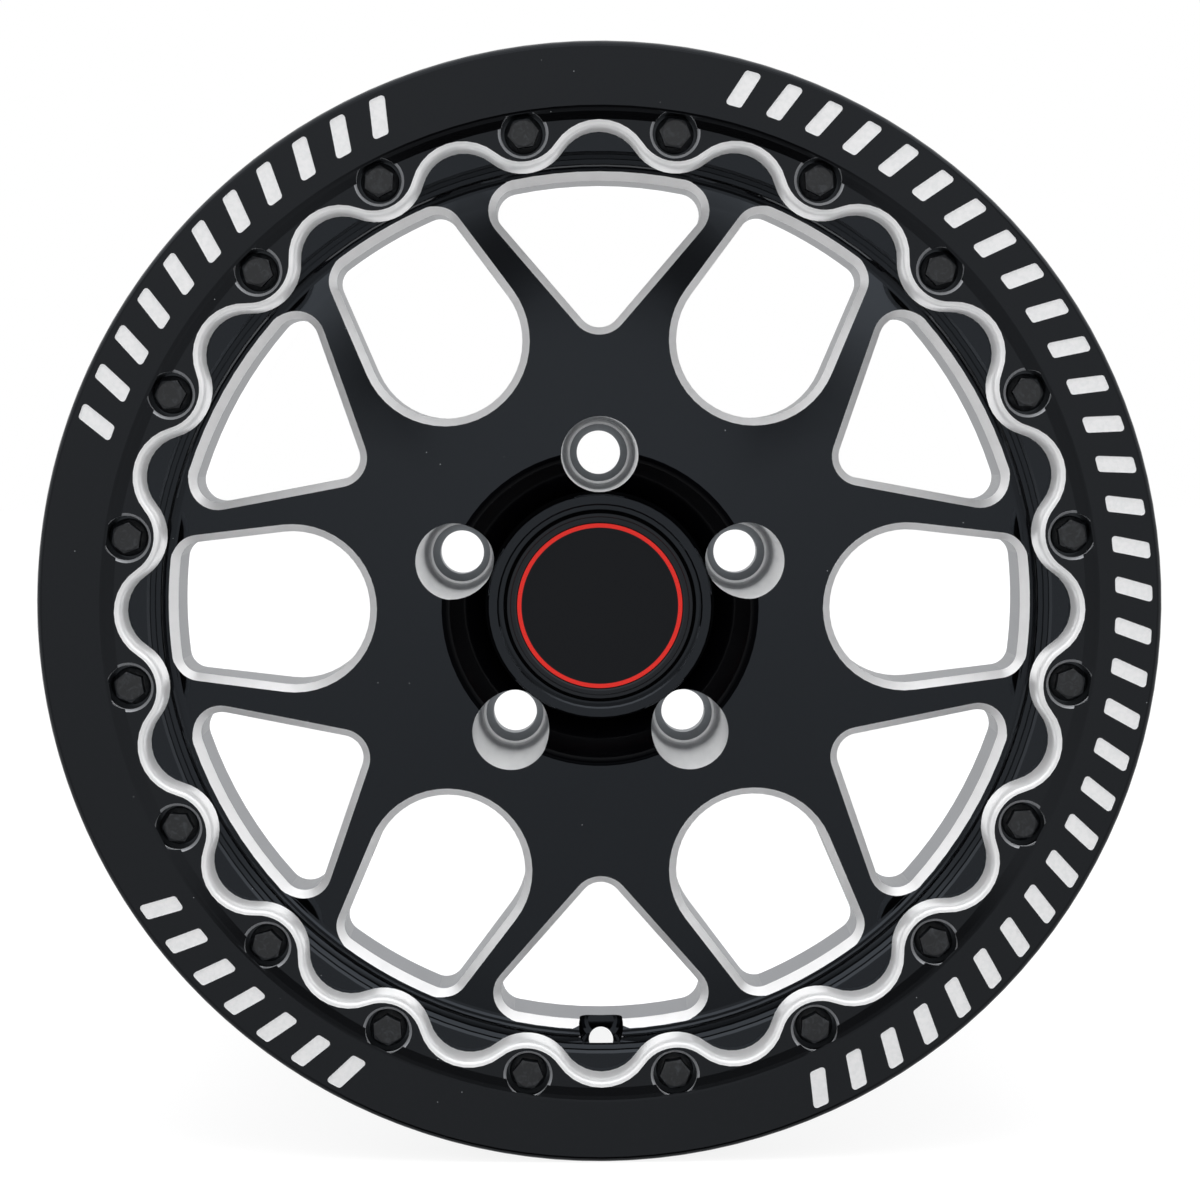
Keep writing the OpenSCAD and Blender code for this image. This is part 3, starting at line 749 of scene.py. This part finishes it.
@dataclass
class Surround:
    """The studio in the wheel's gloss: a pale card round the camera, dark beyond it, white behind."""

    # Light level at each angle from the line towards the camera, in degrees
    above: tuple[tuple[float, float], ...] = (
        (0, 0.62), (13.5, 0.68), (14.6, 0.1), (16, 0.1), (17.6, 1.4), (25, 1.4), (30, 0.14), (36, 0.12),
        (55, 0.2), (65, 1.15), (105, 1.15), (135, 1.15), (180, 1.2),
    )
    below: tuple[tuple[float, float], ...] = (
        (0, 0.62), (13.5, 0.66), (24, 0.62), (30, 0.1), (36, 0.03), (58, 0.03),
        (68, 0.85), (105, 0.95), (135, 1.2), (180, 1.3),
    )
    beside: tuple[tuple[float, float], ...] = (
        (0, 0.62), (13.5, 0.66), (24, 0.62), (30, 0.52), (58, 0.48),
        (68, 0.85), (105, 0.95), (135, 1.2), (180, 1.3),
    )
    # Share of the way to the side at which the side's levels start and end
    side_below: tuple[float, float] = (0.32, 0.52)
    side_above: tuple[float, float] = (0.8, 0.94)
    # Height of a direction between which the lower levels turn to the upper ones
    horizon: tuple[float, float] = (-0.07, 0.02)
    # Softbox overhead and greyer floor, which the bevels show
    overhead_level: float = 1.4
    floor_level: float = 0.55
    # Level of the plain light on matt surfaces
    diffuse_level: float = 0.8

    def levels(
        self, tree: bpy.types.NodeTree, angle: bpy.types.NodeSocket, steps: tuple[tuple[float, float], ...]
    ) -> bpy.types.NodeSocket:
        """Gives the light level at an angle.

        Args:
            tree: node tree that takes the nodes
            angle: angle as a share of half a turn
            steps: angles in degrees and their levels

        Returns:
            The socket with half of the level, because a colour ramp ends at 1
        """
        stops = [(degrees / 180, level / 2) for degrees, level in steps]
        return add_node(tree, "ShaderNodeValToRGB", {"Fac": angle}, stops=stops).outputs["Color"]

    def half(
        self, tree: bpy.types.NodeTree, angle: bpy.types.NodeSocket, side: bpy.types.NodeSocket,
        steps: tuple[tuple[float, float], ...], bounds: tuple[float, float],
    ) -> bpy.types.NodeSocket:
        """Gives the light of the upper or the lower half, with its turn to the side's levels.

        Args:
            tree: node tree that takes the nodes
            angle: angle as a share of half a turn
            side: share of the way to the side
            steps: angles and levels of the half
            bounds: shares at which the side's levels start and end

        Returns:
            The socket with half of the level
        """
        amount = add_node(
            tree, "ShaderNodeMapRange", {"Value": side, "From Min": bounds[0], "From Max": bounds[1]},
            interpolation_type="SMOOTHSTEP",
        )
        mixed = add_node(
            tree, "ShaderNodeMix",
            {
                "Factor": amount.outputs["Result"], "A": self.levels(tree, angle, steps),
                "B": self.levels(tree, angle, self.beside),
            },
            data_type="RGBA",
        )
        return mixed.outputs["Result"]

    def gloss(self, tree: bpy.types.NodeTree) -> bpy.types.NodeSocket:
        """Gives the light that the wheel's gloss shows in each direction.

        Args:
            tree: node tree that takes the nodes

        Returns:
            The socket with the light
        """
        toward = add_node(tree, "ShaderNodeTexCoord").outputs["Generated"]
        part = add_node(tree, "ShaderNodeSeparateXYZ", {"Vector": toward})
        front = add_node(tree, "ShaderNodeMath", {0: part.outputs["Y"], 1: -1.0}, operation="MULTIPLY")
        angle = add_node(tree, "ShaderNodeMath", {0: front.outputs[0]}, operation="ARCCOSINE")
        share = add_node(tree, "ShaderNodeMath", {0: angle.outputs[0], 1: math.pi}, operation="DIVIDE")
        flat = add_node(tree, "ShaderNodeVectorMath", {0: toward, 1: (1, 0, 1)}, operation="MULTIPLY")
        across = add_node(
            tree, "ShaderNodeVectorMath", {0: flat.outputs["Vector"]}, operation="NORMALIZE"
        )
        side = add_node(tree, "ShaderNodeSeparateXYZ", {"Vector": across.outputs["Vector"]})
        side = add_node(tree, "ShaderNodeMath", {0: side.outputs["X"]}, operation="ABSOLUTE").outputs[0]
        up = add_node(
            tree, "ShaderNodeMapRange",
            {"Value": part.outputs["Z"], "From Min": self.horizon[0], "From Max": self.horizon[1]},
            interpolation_type="SMOOTHSTEP",
        )
        cards = add_node(
            tree, "ShaderNodeMix",
            {
                "Factor": up.outputs["Result"],
                "A": self.half(tree, share.outputs[0], side, self.below, self.side_below),
                "B": self.half(tree, share.outputs[0], side, self.above, self.side_above),
            },
            data_type="RGBA",
        )
        # The levels were halved for the ramps, and are doubled here
        height = add_node(
            tree, "ShaderNodeMapRange",
            {
                "Value": part.outputs["Z"], "From Min": -1.0, "From Max": 1.0,
                "To Min": 2 * self.floor_level, "To Max": 2 * self.overhead_level,
            },
        )
        lit = add_node(
            tree, "ShaderNodeVectorMath",
            {0: cards.outputs["Result"], "Scale": height.outputs["Result"]},
            operation="SCALE",
        )
        return lit.outputs["Vector"]

    def build(self) -> None:
        """Makes the world: cards for the gloss, plain light for matt surfaces, white for the camera."""
        world = bpy.data.worlds.new("pale_studio")
        bpy.context.scene.world = world
        world.use_nodes = True
        tree = world.node_tree
        tree.nodes.clear()
        white = linear("#FFFFFF")
        cards = add_node(tree, "ShaderNodeBackground", {"Color": self.gloss(tree), "Strength": 1.0})
        plain = add_node(tree, "ShaderNodeBackground", {"Color": white, "Strength": self.diffuse_level})
        backdrop = add_node(tree, "ShaderNodeBackground", {"Color": white, "Strength": 1.0})
        paths = add_node(tree, "ShaderNodeLightPath")
        seen = add_node(
            tree, "ShaderNodeMath",
            {0: paths.outputs["Is Camera Ray"], 1: paths.outputs["Is Transmission Ray"]},
            operation="MAXIMUM",
        )
        light = add_node(
            tree, "ShaderNodeMixShader",
            {0: paths.outputs["Is Glossy Ray"], 1: plain.outputs[0], 2: cards.outputs[0]},
        )
        sky = add_node(
            tree, "ShaderNodeMixShader", {0: seen.outputs[0], 1: light.outputs[0], 2: backdrop.outputs[0]}
        )
        add_node(tree, "ShaderNodeOutputWorld", {"Surface": sky.outputs[0]})
        log.info("pale studio round the wheel")


@dataclass
class Floor:
    """Pale floor that the wheel stands on."""

    height_m: float = round(CAD_BOX[0][2], 4)
    size_m: float = 12.0
    paper: str = "#F4F4F4"
    # How much of the white that the camera sees is the floor's own, and how much takes the shadow
    own_white: float = 0.86
    shadow_share: str = "#848484"

    def build(self) -> None:
        """Makes the floor as part of the stage."""
        half = self.size_m / 2
        mesh = bpy.data.meshes.new("floor")
        signs = ((-1, -1), (1, -1), (1, 1), (-1, 1))
        corners = [(x * half, y * half, self.height_m) for x, y in signs]
        mesh.from_pydata(corners, [], [(0, 1, 2, 3)])
        floor = bpy.data.objects.new("floor", mesh)
        bpy.context.scene.collection.objects.link(floor)
        material = bpy.data.materials.new("white_paper_floor")
        material.use_nodes = True
        tree = material.node_tree
        tree.nodes.clear()
        paths = add_node(tree, "ShaderNodeLightPath")
        seen = add_node(
            tree, "ShaderNodeMath",
            {0: paths.outputs["Is Camera Ray"], 1: paths.outputs["Is Glossy Ray"]},
            operation="MAXIMUM",
        )
        seen = add_node(
            tree, "ShaderNodeMath", {0: seen.outputs[0], 1: paths.outputs["Is Transmission Ray"]},
            operation="MAXIMUM",
        )
        tone = add_node(
            tree, "ShaderNodeMix",
            {"Factor": seen.outputs[0], "A": linear(self.paper), "B": linear(self.shadow_share)},
            data_type="RGBA",
        )
        shaded = add_node(tree, "ShaderNodeBsdfDiffuse", {"Color": tone.outputs["Result"]})
        level = add_node(
            tree, "ShaderNodeMath", {0: seen.outputs[0], 1: self.own_white}, operation="MULTIPLY"
        )
        white = add_node(
            tree, "ShaderNodeEmission", {"Color": linear("#FFFFFF"), "Strength": level.outputs[0]}
        )
        both = add_node(tree, "ShaderNodeAddShader", {0: shaded.outputs[0], 1: white.outputs[0]})
        add_node(tree, "ShaderNodeOutputMaterial", {"Surface": both.outputs[0]})
        mesh.materials.append(material)
        # The pale surround already stands for the floor in the wheel's gloss
        floor.visible_glossy = False
        log.info("floor at %.4f m", self.height_m)


@dataclass(frozen=True)
class Softbox:
    """A soft lamp of the studio."""

    name: str
    place: tuple[float, float, float]
    size_m: tuple[float, float]
    watts: float

    def build(self) -> None:
        """Hangs the lamp and turns it to the wheel."""
        data = bpy.data.lights.new(self.name, "AREA")
        data.shape = "RECTANGLE"
        data.size, data.size_y = self.size_m
        data.energy = self.watts
        lamp = bpy.data.objects.new(self.name, data)
        lamp.location = self.place
        lamp.rotation_euler = (-Vector(self.place)).to_track_quat("-Z", "Y").to_euler()
        lamp.visible_camera = False
        lamp.visible_glossy = False
        bpy.context.scene.collection.objects.link(lamp)
        log.info("%s of %.0f W", self.name, self.watts)


@dataclass(frozen=True)
class Viewpoint:
    """The camera in front of the wheel, a little above its axis."""

    place: tuple[float, float, float] = (-0.0071, -0.984, 0.0712)
    turn_deg: tuple[float, float, float] = (85.484, 0.15, -0.482)
    lens_mm: float = 69.13
    sensor_mm: float = 36.0
    clip_m: tuple[float, float] = (0.01, 50.0)

    def build(self) -> None:
        """Makes the camera and the scene's view settings."""
        data = bpy.data.cameras.new("camera")
        data.lens = self.lens_mm
        data.sensor_width = self.sensor_mm
        data.clip_start, data.clip_end = self.clip_m
        camera = bpy.data.objects.new("camera", data)
        camera.location = self.place
        camera.rotation_euler = Euler([math.radians(a) for a in self.turn_deg], "XYZ")
        bpy.context.scene.collection.objects.link(camera)
        bpy.context.scene.camera = camera
        bpy.context.scene.view_settings.view_transform = "Standard"


def main() -> None:
    """Dresses the wheel and sets up the studio."""
    logging.basicConfig(level=logging.INFO, format="%(message)s")
    for piece in (
        WheelBody(),
        BeadlockRing(),
        Dressed("ring_bolts", "bolt_black", BOLT_OXIDE),
        Dressed("thread_inserts", "insert_steel", INSERT_STEEL),
        Dressed("centre_cap", "cap_black", CAP_ABS),
        Dressed("cap_disc", "disc_black", DISC_SATIN),
        Dressed("cap_o_ring", "rubber", O_RING_RUBBER),
    ):
        piece.dress()
    Surround().build()
    Floor().build()
    for lamp in (
        Softbox("overhead_softbox", (0.0, -0.5, 1.7), (1.4, 1.0), 15.0),
        Softbox("left_softbox", (-1.8, -0.5, 0.3), (0.8, 1.4), 3.0),
        Softbox("right_softbox", (1.8, -0.5, 0.3), (0.8, 1.4), 3.0),
    ):
        lamp.build()
    Viewpoint().build()


if __name__ == "__main__":
    main()
